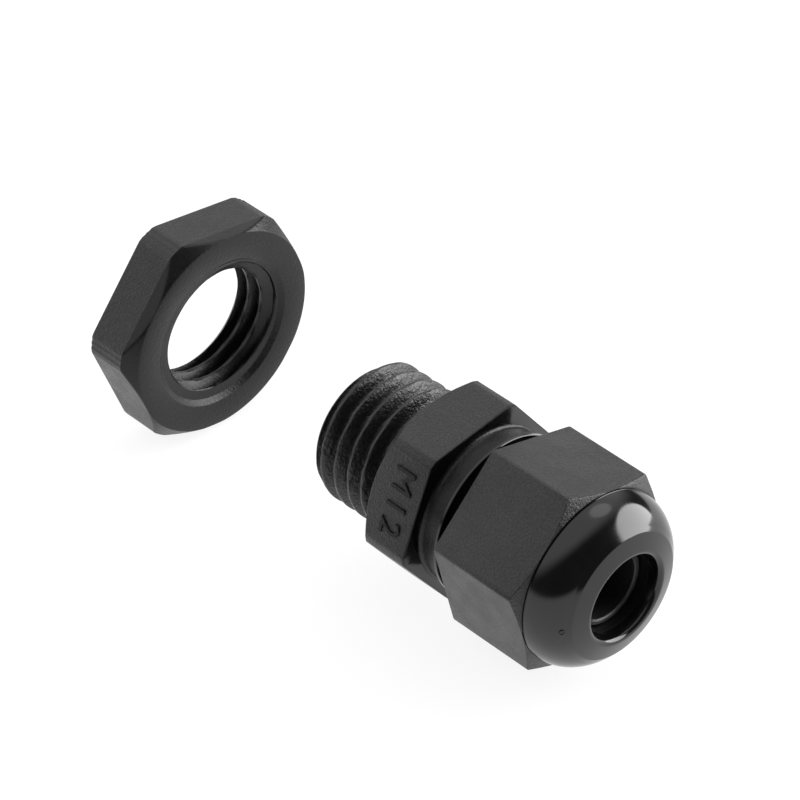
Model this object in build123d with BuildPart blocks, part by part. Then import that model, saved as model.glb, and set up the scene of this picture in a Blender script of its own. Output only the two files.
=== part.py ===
"""Nylon cable gland, M12 x 1.5, lying along +X: body, locknut, dome nut, claw and seal.

Row frame, millimetres: origin on the gland's axis in the plane of the body's shoulder,
+X along the axis towards the dome, +Z up.
"""
import os
from math import cos, degrees, radians, sin

from build123d import *

# Threads: right-hand, one pitch for both ends of the body
pitch = 1.5
flank_slope = 0.577
crest_width = 0.24
thread_play = 0.12

# Hexes: widths across flats, radii where the corners are cut back, turn about the axis
body_flats = 15.0
body_corner_r = 8.46
body_turn = 7.9
dome_flats = 15.0
dome_turn = 44.8
nut_flats = 18.0
nut_corner_r = 9.99
nut_turn = 51.3
edge_round = 0.15

# Body, along X from the shoulder
entry_length = 8.1
entry_crest_r = 6.0
entry_root_r = 5.08
entry_relief_r = 5.0
entry_lead = 0.7
hex_length = 5.0
shoulder_r = 7.4
shoulder_chamfer = 0.85
panel_ring_r = 6.15
panel_ring_depth = 0.3
neck_start = 5.45
neck_r = 6.6
collar_r = 7.0
collar_start = 6.85
collar_end = 7.15
cap_crest_r = 6.4
cap_root_r = 5.6
cap_relief_r = 5.55
body_end = 12.6
cap_lead = 0.6
cap_runout = 0.9
relief = 1.0
entry_turns = 6.3
cap_turns = 5.5

# Bore of the body: cable way, seal ledge, 30 degree seat for the claw, claw chamber
cable_way_r = 3.4
ledge_x = 8.6
ledge_r = 4.1
seat_start = 9.2
seat_start_r = 4.285
seat_end = 10.7
claw_chamber_r = 5.15

# Dome nut: rear face, hex corner end, dome and mouth
dome_rear = 8.2
dome_corner_x = 16.2
dome_groove_x = 16.75
dome_groove_r = 7.47
dome_r = 7.36
dome_arc_x = 16.5
dome_arc_y = 3.6
dome_arc_r = 3.9
dome_front = 20.4
lip_r = 4.1
mouth_r = 3.4
mouth_flare_r = 3.75
cap_bore_r = 5.75
dome_lead = 0.6
sleeve_r = 6.9
cap_thread_end = 12.9
dome_thread_turns = 4.5
undercut_r = 6.55
claw_space_start = 14.2
claw_space_r = 5.85
claw_space_end = 17.5

# Claw: a ring with eight fingers that point at the body
finger_count = 8
ring_start = 15.5
ring_end = 17.4
ring_in_r = 4.4
ring_out_r = 5.7
finger_in_r = 4.4
finger_out_r = 4.95
finger_tip = 10.2
finger_gap = 0.08
slot_width = 0.8
ring_bevel = 0.3
tip_bevel = 0.2

# Sealing insert
seal_start = 8.65
seal_step = 15.3
seal_end = 18.6
seal_r = 3.85
nose_r = 3.3
seal_bore_r = 2.8
seal_bevel = 0.2
nose_round = 0.12

# Locknut: stands off the entry thread by whole turns of the thread
nut_thickness = 4.8
nut_front = -24.8
nut_bore_r = 5.3
nut_turns_off = 15
nut_thread_turns = 5.3
nut_lead = 0.6
nut_face_r = 8.95
nut_corner_drop = 1.15
step_r = 6.7
step_floor_r = 6.35
step_depth = 0.4
step_bevel = 0.25

os.makedirs("parts", exist_ok=True)


def helix_plane(coil):
    """Axial plane through the start of a helix about X: local x along X, local y outwards."""
    start = coil @ 0
    outwards = Vector(0, start.Y, start.Z).normalized()
    return Plane(origin=(0, 0, 0), x_dir=(1, 0, 0), z_dir=Vector(1, 0, 0).cross(outwards))


def helical_groove(first_x, turns, inner_r, inner_width, outer_r, outer_width):
    """Helical cutter whose axial section is a trapezoid, centred on first_x where it starts."""
    with BuildPart() as cutter:
        with BuildLine():
            coil = Helix(pitch, turns * pitch, inner_r, center=(first_x, 0, 0), direction=(1, 0, 0))
        with BuildSketch(helix_plane(coil)):
            with BuildLine():
                Polyline(
                    (first_x - inner_width / 2, inner_r),
                    (first_x - outer_width / 2, outer_r),
                    (first_x + outer_width / 2, outer_r),
                    (first_x + inner_width / 2, inner_r),
                    close=True,
                )
            make_face()
        sweep(path=coil, is_frenet=True)
    return cutter.part


def outside_groove(first_x, turns, root_r, crest_r):
    """Cuts an external thread: the gap between two crests, from its root to clear of the crests."""
    clear_r = crest_r + 0.1
    root_width = pitch - crest_width - 2 * flank_slope * (crest_r - root_r)
    clear_width = root_width + 2 * flank_slope * (clear_r - root_r)
    return helical_groove(first_x, turns, root_r, root_width, clear_r, clear_width)


def inside_groove(first_x, turns, bore_r, crest_r):
    """Cuts an internal thread that the crests of an external one run in with a little play."""
    clear_r = bore_r - 0.1
    floor_r = crest_r + thread_play
    clear_width = crest_width + 2 * flank_slope * (floor_r - clear_r)
    return helical_groove(first_x, turns, clear_r, clear_width, floor_r, crest_width)


def hex_section(flats, corner_r, turn):
    """Hexagon with its corners cut back to a circle, in the current sketch."""
    RegularPolygon(flats / 2, 6, major_radius=False, rotation=turn)
    Circle(corner_r, mode=Mode.INTERSECT)


# Body: threads cut in turned blanks, then the hex, tapered to a neck with a collar, and the bore
entry_groove_x = -entry_length - pitch
cap_groove_x = collar_end - cap_runout
with BuildPart() as entry_end:
    with BuildSketch(Plane.XY):
        with BuildLine():
            Polyline(
                (-entry_length, 0),
                (-entry_length, entry_crest_r - entry_lead),
                (entry_lead - entry_length, entry_crest_r),
                (-relief, entry_crest_r),
                (-relief, entry_relief_r),
                (shoulder_chamfer, entry_relief_r),
                (shoulder_chamfer, 0),
                close=True,
            )
        make_face()
    revolve(axis=Axis.X)
    add(outside_groove(entry_groove_x, entry_turns, entry_root_r, entry_crest_r), mode=Mode.SUBTRACT)

with BuildPart() as cap_end:
    with BuildSketch(Plane.XY):
        with BuildLine():
            Polyline(
                (collar_end, 0),
                (collar_end, cap_relief_r),
                (collar_end + relief, cap_relief_r),
                (collar_end + relief, cap_crest_r),
                (body_end - cap_lead, cap_crest_r),
                (body_end, cap_crest_r - cap_lead),
                (body_end, 0),
                close=True,
            )
        make_face()
    revolve(axis=Axis.X)
    add(outside_groove(cap_groove_x, cap_turns, cap_root_r, cap_crest_r), mode=Mode.SUBTRACT)

with BuildPart() as gland_body:
    add(entry_end.part)
    add(cap_end.part)
    with BuildSketch(Plane.YZ):
        hex_section(body_flats, body_corner_r, body_turn)
    extrude(amount=hex_length)
    with BuildSketch(Plane.XY):
        with BuildLine():
            Polyline(
                (0, shoulder_r),
                (shoulder_chamfer, body_corner_r + 0.1),
                (-relief, body_corner_r + 0.1),
                (-relief, shoulder_r),
                close=True,
            )
        make_face()
    revolve(axis=Axis.X, mode=Mode.SUBTRACT)
    with BuildSketch(Plane.YZ.offset(hex_length)):
        hex_section(body_flats, body_corner_r, body_turn)
    with BuildSketch(Plane.YZ.offset(neck_start)):
        Circle(neck_r)
    loft()
    with BuildSketch(Plane.YZ.offset(neck_start)):
        Circle(neck_r)
    extrude(amount=collar_end - neck_start)
    with BuildSketch(Plane.YZ.offset(collar_start)):
        Circle(collar_r)
    extrude(amount=collar_end - collar_start)
    with BuildSketch(Plane.YZ):
        Circle(panel_ring_r)
        Circle(entry_relief_r, mode=Mode.SUBTRACT)
    extrude(amount=panel_ring_depth, mode=Mode.SUBTRACT)
    with BuildSketch(Plane.XY):
        with BuildLine():
            Polyline(
                (-entry_length - 1, 0),
                (-entry_length - 1, cable_way_r),
                (ledge_x, cable_way_r),
                (ledge_x, ledge_r),
                (seat_start, ledge_r),
                (seat_start, seat_start_r),
                (seat_end, claw_chamber_r),
                (body_end + 1, claw_chamber_r),
                (body_end + 1, 0),
                close=True,
            )
        make_face()
    revolve(axis=Axis.X, mode=Mode.SUBTRACT)
gland_body.part.label = "gland_body"
export_step(gland_body.part, "parts/gland_body.step")

# Dome nut: threaded sleeve, in a hex skirt chamfered into a smooth dome with a round mouth
with BuildPart() as dome_thread:
    with BuildSketch(Plane.XY):
        with BuildLine():
            Polyline(
                (dome_rear, cap_bore_r + dome_lead),
                (dome_rear + dome_lead, cap_bore_r),
                (cap_thread_end, cap_bore_r),
                (cap_thread_end, sleeve_r),
                (dome_rear, sleeve_r),
                close=True,
            )
        make_face()
    revolve(axis=Axis.X)
    dome_groove = inside_groove(cap_groove_x + pitch / 2, dome_thread_turns, cap_bore_r, cap_crest_r)
    add(dome_groove, mode=Mode.SUBTRACT)

with BuildPart() as dome_nut:
    with BuildSketch(Plane.YZ.offset(dome_rear)):
        RegularPolygon(dome_flats / 2, 6, major_radius=False, rotation=dome_turn)
    extrude(amount=dome_groove_x - dome_rear)
    fillet(dome_nut.edges().filter_by(Axis.X), edge_round)
    with BuildSketch(Plane.XY):
        with BuildLine():
            Polyline(
                (dome_corner_x, dome_flats / 3**0.5),
                (dome_groove_x, dome_groove_r),
                (dome_groove_x + 1, dome_groove_r),
                (dome_groove_x + 1, dome_flats),
                (dome_corner_x, dome_flats),
                close=True,
            )
        make_face()
    revolve(axis=Axis.X, mode=Mode.SUBTRACT)
    with BuildSketch(Plane.XY):
        with BuildLine():
            shell = Spline(
                (dome_groove_x, dome_r),
                (dome_arc_x + dome_arc_r * cos(radians(45)), dome_arc_y + dome_arc_r * sin(radians(45))),
                (dome_front, lip_r),
                tangents=((1, -0.1), (0, -1)),
            )
            lip = Spline(
                shell @ 1,
                (dome_front - 0.35, mouth_flare_r - 0.17),
                (dome_front - 0.9, mouth_r),
                tangents=((0, -1), (-1, 0)),
            )
            Polyline(lip @ 1, (dome_groove_x, mouth_r), (dome_groove_x, dome_r))
        make_face()
    revolve(axis=Axis.X)
    with BuildSketch(Plane.XY):
        with BuildLine():
            Polyline(
                (dome_rear - 1, 0),
                (dome_rear - 1, sleeve_r),
                (cap_thread_end, sleeve_r),
                (cap_thread_end, undercut_r),
                (claw_space_start, undercut_r),
                (claw_space_start, claw_space_r),
                (claw_space_end, claw_space_r),
                (claw_space_end, mouth_r),
                (dome_front + 1, mouth_r),
                (dome_front + 1, 0),
                close=True,
            )
        make_face()
    revolve(axis=Axis.X, mode=Mode.SUBTRACT)
    add(dome_thread.part)
dome_nut.part.label = "dome_nut"
export_step(dome_nut.part, "parts/dome_nut.step")

# Claw ring, and its fingers, one each side of a slot
with BuildPart() as claw_ring:
    with BuildSketch(Plane.YZ.offset(ring_start)):
        Circle(ring_out_r)
        Circle(ring_in_r, mode=Mode.SUBTRACT)
    extrude(amount=ring_end - ring_start)
    chamfer(claw_ring.edges().sort_by(Axis.X)[-1], ring_bevel)
claw_ring.part.label = "claw_ring"
export_step(claw_ring.part, "parts/claw_ring.step")


def claw_finger(angle):
    """One finger: a stave of the claw's tube, bevelled outside at its tip."""
    half_angle = 180 / finger_count - degrees(slot_width / 2 / finger_out_r)
    with BuildPart() as finger:
        with BuildSketch(Plane.XY):
            with BuildLine():
                Polyline(
                    (finger_tip, finger_in_r),
                    (finger_tip, finger_out_r - tip_bevel),
                    (finger_tip + tip_bevel, finger_out_r),
                    (ring_start - finger_gap, finger_out_r),
                    (ring_start - finger_gap, finger_in_r),
                    close=True,
                )
            make_face()
        revolve(axis=Axis.X, revolution_arc=2 * half_angle)
    return finger.part.rotate(Axis.X, angle - half_angle)


for number in range(finger_count):
    finger = claw_finger(number * 360 / finger_count)
    finger.label = f"claw_finger_{number + 1}"
    export_step(finger, f"parts/{finger.label}.step")

# Sealing insert: rubber sleeve on the body's ledge, its nose in the dome nut's mouth
with BuildPart() as sealing_insert:
    with BuildSketch(Plane.XY):
        with BuildLine():
            Polyline(
                (seal_start, seal_bore_r),
                (seal_start, seal_r - seal_bevel),
                (seal_start + seal_bevel, seal_r),
                (seal_step, seal_r),
                (seal_step + seal_r - nose_r, nose_r),
                (seal_end, nose_r),
                (seal_end, seal_bore_r),
                close=True,
            )
        make_face()
    revolve(axis=Axis.X)
    fillet(sealing_insert.edges().sort_by(Axis.X)[-2:], nose_round)
sealing_insert.part.label = "sealing_insert"
export_step(sealing_insert.part, "parts/sealing_insert.step")

# Locknut: chamfered hex, flat face with a stepped ring, internal thread
nut_rear = nut_front - nut_thickness
nut_groove_x = entry_groove_x + pitch / 2 - nut_turns_off * pitch
with BuildPart() as locknut:
    with BuildSketch(Plane.YZ.offset(nut_rear)):
        hex_section(nut_flats, nut_corner_r, nut_turn)
    extrude(amount=nut_thickness)
    with BuildSketch(Plane.XY):
        with BuildLine():
            Polyline(
                (nut_front, nut_face_r),
                (nut_front - nut_corner_drop, nut_corner_r),
                (nut_front - nut_corner_drop, nut_corner_r + 1),
                (nut_front + 1, nut_corner_r + 1),
                (nut_front + 1, nut_face_r),
                close=True,
            )
        make_face()
    revolve(axis=Axis.X, mode=Mode.SUBTRACT)
    with BuildSketch(Plane.XY):
        with BuildLine():
            Polyline(
                (nut_rear - 1, 0),
                (nut_rear - 1, nut_bore_r + nut_lead),
                (nut_rear, nut_bore_r + nut_lead),
                (nut_rear + nut_lead, nut_bore_r),
                (nut_front - step_depth - step_bevel, nut_bore_r),
                (nut_front - step_depth, nut_bore_r + step_bevel),
                (nut_front - step_depth, step_floor_r),
                (nut_front, step_r),
                (nut_front + 1, step_r),
                (nut_front + 1, 0),
                close=True,
            )
        make_face()
    revolve(axis=Axis.X, mode=Mode.SUBTRACT)
    add(inside_groove(nut_groove_x, nut_thread_turns, nut_bore_r, entry_crest_r), mode=Mode.SUBTRACT)
locknut.part.label = "locknut"
export_step(locknut.part, "parts/locknut.step")
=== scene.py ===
"""Looks of a small moulded nylon cable gland and its locknut, lying along +X on a pale floor.

Blender works in metres. Sizes below are in millimetres, and mm turns them to metres.
Angles about the gland's axis run from +Y towards +Z.
"""

import bpy
import numpy as np
from mathutils import Matrix, Vector


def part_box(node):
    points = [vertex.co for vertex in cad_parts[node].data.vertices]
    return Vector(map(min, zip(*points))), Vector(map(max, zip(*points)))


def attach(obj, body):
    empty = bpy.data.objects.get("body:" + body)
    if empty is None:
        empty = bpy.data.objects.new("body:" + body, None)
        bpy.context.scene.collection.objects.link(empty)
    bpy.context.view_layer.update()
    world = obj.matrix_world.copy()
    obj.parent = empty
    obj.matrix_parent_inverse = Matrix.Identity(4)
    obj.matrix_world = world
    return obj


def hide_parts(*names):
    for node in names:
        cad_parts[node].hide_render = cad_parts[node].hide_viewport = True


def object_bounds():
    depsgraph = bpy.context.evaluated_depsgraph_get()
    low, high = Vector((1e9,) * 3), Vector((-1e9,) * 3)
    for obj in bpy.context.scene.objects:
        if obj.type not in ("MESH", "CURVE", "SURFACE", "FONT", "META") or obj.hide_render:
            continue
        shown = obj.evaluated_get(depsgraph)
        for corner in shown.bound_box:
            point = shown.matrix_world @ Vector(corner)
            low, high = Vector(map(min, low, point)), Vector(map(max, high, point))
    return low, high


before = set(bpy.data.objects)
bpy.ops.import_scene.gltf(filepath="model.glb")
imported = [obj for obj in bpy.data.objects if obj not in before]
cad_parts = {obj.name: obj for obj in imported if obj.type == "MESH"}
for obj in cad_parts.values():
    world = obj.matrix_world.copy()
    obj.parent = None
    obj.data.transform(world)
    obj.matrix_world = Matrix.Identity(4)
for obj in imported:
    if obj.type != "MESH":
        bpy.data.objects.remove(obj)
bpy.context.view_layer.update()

mm = 0.001

# Threads: one pitch at both ends of the body, right-hand
pitch = 1.5
flank_slope = 0.577
crest_width = 0.24
thread_play = 0.12
root_rounding = 0.08
crest_x = -7.05
entry_crest_r = 6.0
entry_root_r = 5.08
cap_crest_r = 6.4
cap_root_r = 5.6

# Hexes: width across flats, where the corners are cut back, angle of one corner, and how
# crisply the flats meet (the power that blends them)
body_flats = 15.0
body_corner_r = 8.46
body_corner = 7.9
body_sharpness = 420
dome_flats = 15.0
dome_corner = 44.8
dome_sharpness = 220
nut_flats = 18.0
nut_corner_r = 9.99
nut_corner = 51.3
nut_sharpness = 300
nut_flute = 0.05
flute_waves = 60

# Grid of the turned skins, and the angle past which their shading breaks
spokes = 480
edge = 0.1
thread_step = 0.1
curve_step = 0.12
seam = 0.01
smooth_angle = 35

# Places along the axis, from the frame
entry_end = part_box("gland_body")[0].x / mm
body_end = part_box("gland_body")[1].x / mm
dome_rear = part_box("dome_nut")[0].x / mm
dome_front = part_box("dome_nut")[1].x / mm
nut_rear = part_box("locknut")[0].x / mm
nut_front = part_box("locknut")[1].x / mm
seal_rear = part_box("sealing_insert")[0].x / mm
seal_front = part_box("sealing_insert")[1].x / mm


# Materials ---------------------------------------------------------------

# Width of the patches where the melt flowed and the gloss changes
flow_patch = 2.2

def linear(hex_colour):
    """Linear RGBA of an sRGB hex colour."""
    channels = [int(hex_colour[i:i + 2], 16) / 255 for i in (1, 3, 5)]
    return [c / 12.92 if c <= 0.04045 else ((c + 0.055) / 1.055) ** 2.4 for c in channels] + [1.0]


def start_material(name):
    """A new node material: its tree and its surface shader."""
    material = bpy.data.materials.new(name)
    material.use_nodes = True
    return material, material.node_tree, material.node_tree.nodes["Principled BSDF"]


def add_node(tree, kind, settings=None, values=None, links=None):
    """Adds a node with its settings, socket values and {input: output socket} links."""
    node = tree.nodes.new(kind)
    for name, value in (settings or {}).items():
        setattr(node, name, value)
    for socket, value in (values or {}).items():
        node.inputs[socket].default_value = value
    for socket, source in (links or {}).items():
        tree.links.new(source, node.inputs[socket])
    return node


def per_metre(size):
    """Texture scale, in cycles per metre, of a pattern this many millimetres across."""
    return 1 / (size * mm)


def moulded(name, dark, pale, grain, grain_height, rough_low, rough_high, specular=0.5):
    """Moulded polymer: fine grain, with slow changes of gloss where the melt flowed."""
    material, tree, shader = start_material(name)
    place = add_node(tree, "ShaderNodeTexCoord").outputs["Object"]
    fine = add_node(tree, "ShaderNodeTexNoise", values={"Scale": per_metre(grain), "Detail": 3.0,
                                                       "Roughness": 0.6}, links={"Vector": place})
    patches = add_node(tree, "ShaderNodeTexNoise", values={"Scale": per_metre(flow_patch), "Detail": 3.0},
                       links={"Vector": place})
    tone = add_node(tree, "ShaderNodeValToRGB", links={"Fac": fine.outputs["Fac"]})
    tone.color_ramp.elements[0].position = 0.36
    tone.color_ramp.elements[0].color = linear(dark)
    tone.color_ramp.elements[1].position = 0.66
    tone.color_ramp.elements[1].color = linear(pale)
    gloss = add_node(tree, "ShaderNodeMapRange", values={"From Min": 0.35, "From Max": 0.65,
                                                        "To Min": rough_low, "To Max": rough_high},
                     links={"Value": patches.outputs["Fac"]})
    relief = add_node(tree, "ShaderNodeBump", values={"Strength": 1.0, "Distance": grain_height * mm},
                      links={"Height": fine.outputs["Fac"]})
    tree.links.new(tone.outputs["Color"], shader.inputs["Base Color"])
    tree.links.new(gloss.outputs["Result"], shader.inputs["Roughness"])
    tree.links.new(relief.outputs["Normal"], shader.inputs["Normal"])
    shader.inputs["IOR"].default_value = 1.53
    shader.inputs["Specular IOR Level"].default_value = specular
    return material


# PA6 nylon from a spark-eroded mould: an even fine mottle that scatters light off the flats.
# The real grit is about 0.1 mm across, drawn at 0.18 mm so that it shows.
sparked_nylon = moulded("pa6_nylon_spark_eroded", "#060607", "#262628", grain=0.18,
                        grain_height=0.09, rough_low=0.29, rough_high=0.4)
# PA6 from a polished mould: near-black and glossy, with a faint ripple in its reflections.
polished_nylon = moulded("pa6_nylon_polished", "#070708", "#0b0b0c", grain=0.9,
                         grain_height=0.001, rough_low=0.1, rough_high=0.16)
# PA6 threads, released from the mould by unscrewing: satin, scuffed flanks. The scuffs are
# really about 0.1 mm wide, drawn at 0.32 mm so that they show.
thread_nylon = moulded("pa6_nylon_thread", "#08080a", "#18181a", grain=0.32,
                       grain_height=0.09, rough_low=0.28, rough_high=0.4)
# PA6 from a stoned mould, on faces, edges and inside: satin, with little grain. The stoning
# marks are really about 0.1 mm wide, drawn at 0.25 mm so that they show.
satin_nylon = moulded("pa6_nylon_satin_face", "#060607", "#101011", grain=0.25,
                      grain_height=0.03, rough_low=0.3, rough_high=0.38, specular=0.3)
# Neoprene seal, moulded satin: greyer than the nylon, with a dusty bloom. The bloom's specks
# are really under 0.1 mm across, drawn at 0.12 mm.
satin_rubber = moulded("neoprene_moulded_satin", "#1a1a1b", "#262627", grain=0.12,
                       grain_height=0.006, rough_low=0.45, rough_high=0.55)
finishes = [sparked_nylon, polished_nylon, thread_nylon, satin_nylon, satin_rubber]


# Turned skins ------------------------------------------------------------

angles = np.arange(spokes) * 2 * np.pi / spokes


def round_section(x, r, inset):
    """Plain round outline."""
    return np.full(spokes, r - inset)


def hexagon(flats, corner, sharpness, flute=0.0):
    """Outline of a hex whose corners are cut back at the station's own radius, and may be fluted."""
    normals = np.radians(corner + 30 + 60 * np.arange(6))

    def section(x, r, inset):
        apothem = flats / 2 - inset
        facing = np.clip(np.cos(angles[:, None] - normals[None, :]), 0, 1) / apothem
        corner_r = r - inset - flute * np.abs(np.sin(flute_waves * angles))
        total = np.sum((facing * r) ** sharpness, axis=1) + (r / corner_r) ** sharpness
        return r * total ** (-1 / sharpness)

    return section


def thread_height(x, root_r, crest_r):
    """Radius of the thread's surface at station x, round all the spokes."""
    phase = (x - crest_x) / pitch - (angles - np.pi / 2) / (2 * np.pi)
    off_crest = np.abs((phase + 0.5) % 1 - 0.5) * pitch
    flank = crest_r - np.maximum(off_crest - crest_width / 2, 0) / flank_slope
    low = root_r + root_rounding * np.logaddexp(0, (flank - root_r) / root_rounding)
    return np.minimum(low, crest_r)


def outside_thread(root_r, crest_r):
    """Outline of an external thread, cut down to the station's own radius."""

    def section(x, r, inset):
        return np.minimum(thread_height(x, root_r, crest_r), r)

    return section


def inside_thread(root_r, crest_r):
    """Outline of an internal thread that fits the external one of these radii."""

    def section(x, r, inset):
        return np.maximum(thread_height(x, root_r, crest_r) + thread_play, r)

    return section


def stations_of(step, corners):
    """(x, r, inset) along one run of corners, spaced by its step, or at the corners alone."""
    placed = [corners[0]]
    for start, end in zip(corners, corners[1:]):
        length = np.hypot(end[0] - start[0], end[1] - start[1])
        count = max(1, int(np.ceil(length / step))) if step else 1
        placed += [tuple(np.array(start) + (np.array(end) - np.array(start)) * k / count)
                   for k in range(1, count + 1)]
    return placed


def turned_skin(name, body, runs):
    """Closed skin swept round the axis, from runs of (section, finish, step, corners).

    The runs follow each other round the wall's cross-section, and the last joins the first.
    """
    rings, ring_finish = [], []
    for section, finish, step, corners in runs:
        for x, r, inset in stations_of(step, corners):
            radii = section(x, r, inset)
            rings.append(np.stack([np.full(spokes, x), radii * np.cos(angles),
                                   radii * np.sin(angles)], axis=1))
            ring_finish.append(finishes.index(finish))
    points = np.concatenate(rings) * mm
    faces, face_finish = [], []
    for k in range(len(rings)):
        following = (k + 1) % len(rings)
        for s in range(spokes):
            beside = (s + 1) % spokes
            faces.append((k * spokes + s, k * spokes + beside,
                          following * spokes + beside, following * spokes + s))
            face_finish.append(ring_finish[following])
    mesh = bpy.data.meshes.new(name)
    mesh.from_pydata(points.tolist(), [], faces)
    for finish in finishes:
        mesh.materials.append(finish)
    mesh.polygons.foreach_set("material_index", face_finish)
    mesh.update()
    mesh.set_sharp_from_angle(angle=np.radians(smooth_angle))
    piece = bpy.data.objects.new(name, mesh)
    bpy.context.collection.objects.link(piece)
    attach(piece, body)
    return piece


def arc(centre_x, centre_r, radius, start, end, count):
    """Points (x, r, 0) on an arc, its angles in degrees from the axis's direction."""
    turns = np.radians(np.linspace(start, end, count))
    return [(centre_x + radius * np.cos(t), centre_r + radius * np.sin(t), 0) for t in turns]


# Locknut: hex with a conical chamfer in front, flat face with a sunk ring, internal thread
nut_hex = hexagon(nut_flats, nut_corner, nut_sharpness, nut_flute)
nut_cone = hexagon(nut_flats, nut_corner, nut_sharpness)
nut_thread = inside_thread(entry_root_r, entry_crest_r)
nut_bore_r = 5.3
nut_face_r = 8.95
nut_drop = 1.15
nut_step_r = 6.7
nut_floor_r = 6.35
nut_floor = nut_front - 0.4
nut_hole_r = entry_crest_r + thread_play + 0.05
nut_lead = 0.6
nut_mouth_lead = 0.25
locknut_skin = turned_skin("locknut_moulding", "locknut", [
    (nut_thread, satin_nylon, thread_step, [
        (nut_floor - edge, nut_bore_r + nut_mouth_lead, 0),
        (nut_floor - edge - nut_mouth_lead, nut_bore_r, 0),
        (nut_rear + nut_lead, nut_bore_r, 0),
        (nut_rear, nut_bore_r + nut_lead, 0)]),
    (nut_hex, satin_nylon, 0, [
        (nut_rear, nut_corner_r, edge),
        (nut_rear + edge * 0.3, nut_corner_r, edge * 0.3),
        (nut_rear + edge, nut_corner_r, 0)]),
    (nut_hex, sparked_nylon, 0, [
        (nut_rear + edge, nut_corner_r, 0),
        (nut_front - nut_drop, nut_corner_r, 0)]),
    (nut_cone, satin_nylon, curve_step, [
        (nut_front - nut_drop + seam, nut_corner_r, 0),
        (nut_front - edge * 0.3, nut_face_r + edge * 0.8, 0),
        (nut_front, nut_face_r - edge, 0)]),
    (round_section, satin_nylon, 0, [
        (nut_front, nut_step_r + edge, 0),
        (nut_front - edge * 0.4, nut_step_r, 0),
        (nut_floor + edge * 0.4, nut_floor_r, 0),
        (nut_floor, nut_floor_r - edge, 0),
        (nut_floor, nut_hole_r, 0)]),
])
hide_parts("locknut")

# Body: entry thread, wrench hex with a turned shoulder, neck and collar, cap thread, bore
body_hex = hexagon(body_flats, body_corner, body_sharpness)
entry_thread = outside_thread(entry_root_r, entry_crest_r)
cap_thread = outside_thread(cap_root_r, cap_crest_r)
shoulder_r = 7.4
shoulder_chamfer = 0.85
hex_end = 5.0
entry_tip_r, entry_lead = 5.2, 0.8
entry_fade_start, entry_fade_end = -0.6, -0.2
neck_x, neck_r, neck_fillet = 5.45, 6.6, 0.25
collar_x, collar_r, collar_end, collar_edge = 6.85, 7.0, 7.15, 0.05
cap_rise_start, cap_rise_end = collar_end + 0.7, collar_end + 1.2
cap_lead = 0.6
bore_r = 3.4
ledge_x, ledge_r = 8.6, 4.1
seat_x, seat_r = 9.2, 4.285
seat_end, chamber_r = 10.7, 5.15
gland_skin = turned_skin("gland_body_moulding", "gland_body", [
    (round_section, thread_nylon, 0, [
        (entry_end, bore_r, 0),
        (entry_end, entry_root_r - 0.3, 0)]),
    (entry_thread, thread_nylon, thread_step, [
        (entry_end, entry_tip_r, 0),
        (entry_end + entry_lead, entry_crest_r, 0),
        (entry_fade_start, entry_crest_r, 0),
        (entry_fade_end, entry_root_r, 0),
        (0, entry_root_r, 0)]),
    (round_section, satin_nylon, 0, [
        (0, shoulder_r - edge, 0)]),
    (body_hex, sparked_nylon, curve_step, [
        (edge * 0.4, shoulder_r, 0),
        (shoulder_chamfer, body_corner_r, 0)]),
    (body_hex, sparked_nylon, 0, [
        (hex_end - edge, body_corner_r, 0)]),
    (body_hex, satin_nylon, 0, [
        (hex_end - edge * 0.3, body_corner_r, edge * 0.3),
        (hex_end, body_corner_r, edge)]),
    (round_section, polished_nylon, 0, [
        (hex_end + edge * 0.4, neck_r + neck_fillet, 0)]),
    (round_section, satin_nylon, 0, [
        (hex_end + neck_fillet * 0.48, neck_r + neck_fillet * 0.4, 0),
        (hex_end + neck_fillet, neck_r + neck_fillet * 0.12, 0),
        (neck_x, neck_r, 0),
        (collar_x, neck_r, 0)]),
    (round_section, polished_nylon, 0, [
        (collar_x, collar_r - collar_edge, 0),
        (collar_x + collar_edge, collar_r, 0),
        (collar_end - collar_edge, collar_r, 0),
        (collar_end, collar_r - collar_edge, 0),
        (collar_end, cap_root_r, 0)]),
    (cap_thread, thread_nylon, thread_step, [
        (cap_rise_start, cap_root_r, 0),
        (cap_rise_end, cap_crest_r, 0),
        (body_end - cap_lead, cap_crest_r, 0),
        (body_end, cap_crest_r - cap_lead, 0)]),
    (round_section, satin_nylon, 0, [
        (body_end, chamber_r, 0),
        (seat_end, chamber_r, 0),
        (seat_x, seat_r, 0),
        (seat_x, ledge_r, 0),
        (ledge_x, ledge_r, 0),
        (ledge_x, bore_r, 0)]),
])
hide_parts("gland_body")

# Dome nut: hex skirt, corners turned down to a groove, polished dome rolled into the mouth
dome_hex = hexagon(dome_flats, dome_corner, dome_sharpness)
dome_bore_thread = inside_thread(cap_root_r, cap_crest_r)
full_corner_r = dome_flats / 3**0.5
dome_bore_r, dome_lead, dome_thread_end = 5.75, 0.6, 12.9
undercut_r = 6.55
claw_space_r, claw_space_start, claw_space_end = 5.85, 14.2, 17.5
turndown_x = 16.2
groove_x, groove_corner_r = 16.75, 7.52
groove_outer_r, groove_inner_r = 7.36, 7.33
dome_arc_x, dome_arc_r = 16.51, 3.56
dome_radius = dome_front - dome_arc_x
crease_x, crease_r, crease_radius = 19.62, 5.28, 0.4
lip_r, lip_radius = 4.02, 0.42
mouth_r, mouth_edge_x = 3.4, 19.4
dome_points = arc(dome_arc_x, dome_arc_r, dome_radius, 86, 34, 28)
crease_points = arc(crease_x, crease_r, crease_radius, 30, 18, 4)
lip_points = arc(dome_front - lip_radius, lip_r, lip_radius, 16, -80, 14)
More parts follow.
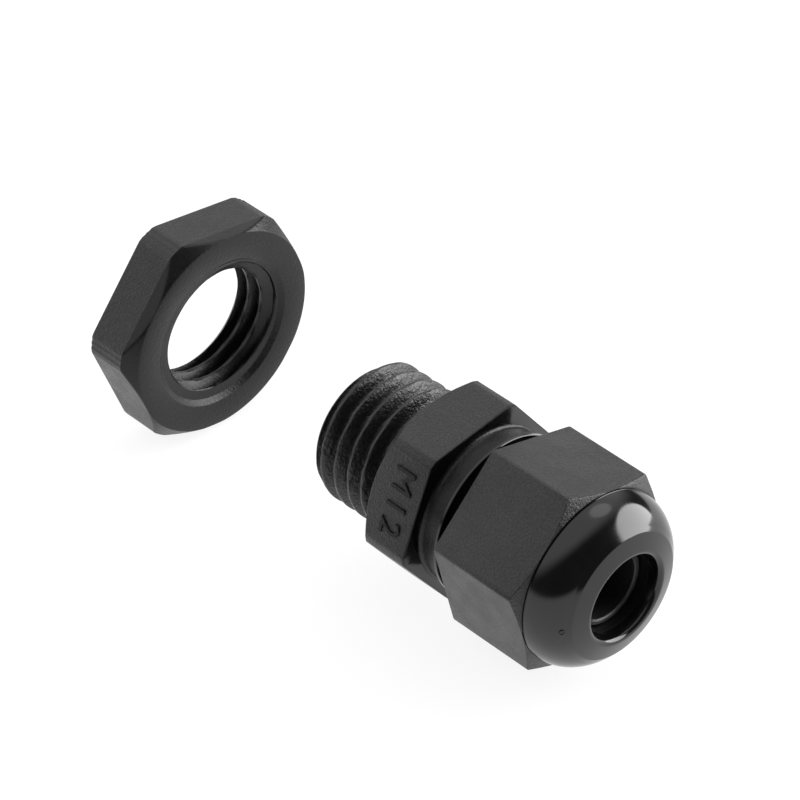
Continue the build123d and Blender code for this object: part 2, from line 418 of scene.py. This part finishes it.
dome_skin = turned_skin("dome_nut_moulding", "dome_nut", [
    (dome_bore_thread, thread_nylon, thread_step, [
        (dome_thread_end, dome_bore_r, 0),
        (dome_rear + dome_lead, dome_bore_r, 0),
        (dome_rear, dome_bore_r + dome_lead, 0)]),
    (dome_hex, sparked_nylon, 0, [
        (dome_rear, full_corner_r, edge),
        (dome_rear + edge * 0.3, full_corner_r, edge * 0.3),
        (dome_rear + edge, full_corner_r, 0)]),
    (dome_hex, sparked_nylon, curve_step / 2, [
        (turndown_x, full_corner_r, 0),
        (groove_x, groove_corner_r, 0)]),
    (round_section, polished_nylon, 0, [
        (groove_x + 2 * seam, groove_outer_r, 0),
        (groove_x + 6 * seam, groove_inner_r, 0)]
        + [p for p in dome_points if p[0] > groove_x + 8 * seam]
        + crease_points + lip_points + [(mouth_edge_x, mouth_r, 0)]),
    (round_section, satin_nylon, 0, [
        (claw_space_end, mouth_r, 0),
        (claw_space_end, claw_space_r, 0),
        (claw_space_start, claw_space_r, 0),
        (claw_space_start, undercut_r, 0),
        (dome_thread_end, undercut_r, 0)]),
])
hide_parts("dome_nut")

# Seal: rubber sleeve with a rounded nose that shows in the mouth
seal_bore_r, seal_nose_r, seal_body_r = 2.8, 3.3, 3.85
seal_taper_start, seal_taper_end = 15.3, 15.9
nose_round = 0.12
seal_skin = turned_skin("seal_sleeve", "sealing_insert", [
    (round_section, satin_rubber, 0.6, [
        (seal_rear, seal_bore_r, 0),
        (seal_rear, seal_body_r - 0.2, 0),
        (seal_rear + 0.3, seal_body_r, 0),
        (seal_taper_start, seal_body_r, 0),
        (seal_taper_end, seal_nose_r, 0),
        (seal_front - nose_round, seal_nose_r, 0),
        (seal_front, seal_nose_r - nose_round, 0),
        (seal_front, seal_bore_r + nose_round, 0),
        (seal_front - nose_round, seal_bore_r, 0)]),
])
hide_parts("sealing_insert")

# Claw: the CAD ring and fingers keep their shape and take the satin nylon
for name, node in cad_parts.items():
    if name.startswith("claw"):
        node.data.materials.clear()
        node.data.materials.append(satin_nylon)


# Marks ---------------------------------------------------------------------

# Characters: height, how far they stand off the flat, rounding, and thinning of their strokes
letter_height = 2.9
letter_rise = 0.1
letter_bevel = 0.05
letter_thinning = 0.03
# Gate scar: place on the dome, angle round the axis, lean of its face, and radius
scar_x, scar_r, scar_angle, scar_lean, scar_size = 19.53, 6.05, 182, 39.5, 0.26
# Its profile: (share of its radius, height), from the rim to the middle
scar_profile = [(1.0, -0.06), (0.96, 0.03), (0.82, 0.05), (0.68, 0.01), (0.6, -0.01), (0.0001, 0.02)]
scar_sides = 40

def flat_place(x, angle, distance):
    """Matrix of a mark on a hex flat: it reads round the gland, its tops towards the dome."""
    turn = np.radians(angle)
    outwards = Vector((0, np.cos(turn), np.sin(turn)))
    round_way = Vector((0, -np.sin(turn), np.cos(turn)))
    along = Vector((1, 0, 0))
    place = Matrix((round_way, along, outwards)).transposed().to_4x4()
    place.translation = (along * x + outwards * distance) * mm
    return place


def raised_mark(name, text, height, x, angle, distance, body):
    """Moulded characters standing a little off a flat."""
    curve = bpy.data.curves.new(name + "_outline", "FONT")
    curve.body = text
    curve.align_x = "CENTER"
    curve.align_y = "CENTER"
    curve.size = height * mm
    curve.space_character = 1.25
    curve.extrude = letter_rise * mm
    curve.bevel_depth = letter_bevel * mm
    curve.offset = -letter_thinning * mm
    outline = bpy.data.objects.new(name + "_outline", curve)
    bpy.context.collection.objects.link(outline)
    mesh = bpy.data.meshes.new_from_object(outline.evaluated_get(bpy.context.evaluated_depsgraph_get()))
    bpy.data.objects.remove(outline)
    mesh.transform(flat_place(x, angle, distance))
    mesh.materials.clear()
    mesh.materials.append(satin_nylon)
    piece = bpy.data.objects.new(name, mesh)
    bpy.context.collection.objects.link(piece)
    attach(piece, body)
    return piece


def gate_mark(name, x, radius, angle, lean, size):
    """Round scar where the sprue was cut: a shallow button in a fine ring on the dome."""
    turn, tilt = np.radians(angle), np.radians(lean)
    outwards = Vector((np.cos(tilt), np.sin(tilt) * np.cos(turn), np.sin(tilt) * np.sin(turn)))
    centre = Vector((x, radius * np.cos(turn), radius * np.sin(turn)))
    rise = outwards.to_track_quat("Z", "Y").to_matrix()
    sides = scar_sides
    points = [centre + rise @ Vector((share * size * np.cos(2 * np.pi * k / sides),
                                      share * size * np.sin(2 * np.pi * k / sides), height))
              for share, height in scar_profile for k in range(sides)]
    faces = [(r * sides + k, r * sides + (k + 1) % sides,
              (r + 1) * sides + (k + 1) % sides, (r + 1) * sides + k)
             for r in range(len(scar_profile) - 1) for k in range(sides)]
    mesh = bpy.data.meshes.new(name)
    mesh.from_pydata([p * mm for p in points], [], faces)
    mesh.materials.append(thread_nylon)
    piece = bpy.data.objects.new(name, mesh)
    bpy.context.collection.objects.link(piece)
    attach(piece, "dome_nut")
    return piece


gate_mark("gate_scar", scar_x, scar_r, scar_angle, scar_lean, scar_size)
mark_x = hex_end * 0.56
mark_flat = body_corner + 150
raised_mark("thread_size_mark", "M12", letter_height, mark_x, mark_flat, body_flats / 2, "gland_body")


# Floor, light and camera: metres --------------------------------------------

floor_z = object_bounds()[0].z
floor_mesh = bpy.data.meshes.new("floor")
half_board = 2.0
floor_mesh.from_pydata([(-half_board, -half_board, floor_z), (half_board, -half_board, floor_z),
                        (half_board, half_board, floor_z), (-half_board, half_board, floor_z)],
                       [], [(0, 1, 2, 3)])
floor = bpy.data.objects.new("floor", floor_mesh)
bpy.context.collection.objects.link(floor)
# Matt white board with a painted pool of light: its emission is strongest round the gland and falls off
# into the dim of the room
floor_paint, floor_tree, floor_shader = start_material("white_board_painted_light_pool")
floor_shader.inputs["Base Color"].default_value = linear("#7d7d7d")
floor_shader.inputs["Roughness"].default_value = 0.9
floor_shader.inputs["Emission Color"].default_value = (1.0, 1.0, 1.0, 1.0)
floor_place = add_node(floor_tree, "ShaderNodeTexCoord").outputs["Object"]
floor_distance = add_node(floor_tree, "ShaderNodeVectorMath", {"operation": "LENGTH"},
                          links={"Vector": floor_place})
# Painted pool of light: the floor's emission strength falls off with distance from the gland
floor_glow = add_node(floor_tree, "ShaderNodeMapRange", {"interpolation_type": "SMOOTHSTEP"},
                      {"From Min": 0.07, "From Max": 0.4, "To Min": 0.86, "To Max": 0.2},
                      {"Value": floor_distance.outputs["Value"]})
floor_tree.links.new(floor_glow.outputs["Result"], floor_shader.inputs["Emission Strength"])
floor_mesh.materials.append(floor_paint)

# Room: a bright tent above and behind the entry end, dim on the camera's side and along the floor
world = bpy.data.worlds.new("studio")
world.use_nodes = True
world_tree = world.node_tree
tent_direction = (-0.6, 0.0, 0.8)
sky = add_node(world_tree, "ShaderNodeTexCoord").outputs["Generated"]
towards_tent = add_node(world_tree, "ShaderNodeVectorMath", {"operation": "DOT_PRODUCT"},
                        {1: tent_direction}, {0: sky})
tent_glow = add_node(world_tree, "ShaderNodeMapRange", {"interpolation_type": "SMOOTHSTEP"},
                     {"From Min": 0.25, "From Max": 0.62, "To Min": 0.09, "To Max": 1.05},
                     {"Value": towards_tent.outputs["Value"]})
backdrop = world_tree.nodes["Background"]
backdrop.inputs["Color"].default_value = (1.0, 1.0, 1.0, 1.0)
world_tree.links.new(tent_glow.outputs["Result"], backdrop.inputs["Strength"])
bpy.context.scene.world = world
bpy.context.scene.view_settings.view_transform = "Standard"

dome_middle = Vector((groove_x, 0, 0)) * mm


def softbox(name, towards, distance, size, radiance):
    """Round area light this far off in this direction, in metres, aimed at the dome."""
    lamp = bpy.data.lights.new(name, "AREA")
    lamp.shape = "DISK"
    lamp.size = size
    lamp.energy = radiance * np.pi * np.pi * size**2 / 4
    light = bpy.data.objects.new(name, lamp)
    light.location = dome_middle + Vector(towards).normalized() * distance
    light.rotation_euler = (-Vector(towards)).to_track_quat("-Z", "Y").to_euler()
    light.visible_camera = False
    bpy.context.collection.objects.link(light)


softbox("window_softbox", (0.47, 0.83, 0.27), 0.3, 0.3, 7.0)
softbox("overhead_softbox", (-0.02, 0.47, 0.88), 0.3, 0.14, 1.2)

camera_place = Vector((170.83, -167.41, 197.29)) * mm
looking = Vector((-0.5656, 0.5413, -0.6221))
lens = bpy.data.cameras.new("camera")
lens.lens = 180
lens.sensor_width = 36
lens.clip_start = 0.01
camera = bpy.data.objects.new("camera", lens)
camera.location = camera_place
camera.rotation_euler = looking.to_track_quat("-Z", "Y").to_euler()
bpy.context.collection.objects.link(camera)
bpy.context.scene.camera = camera
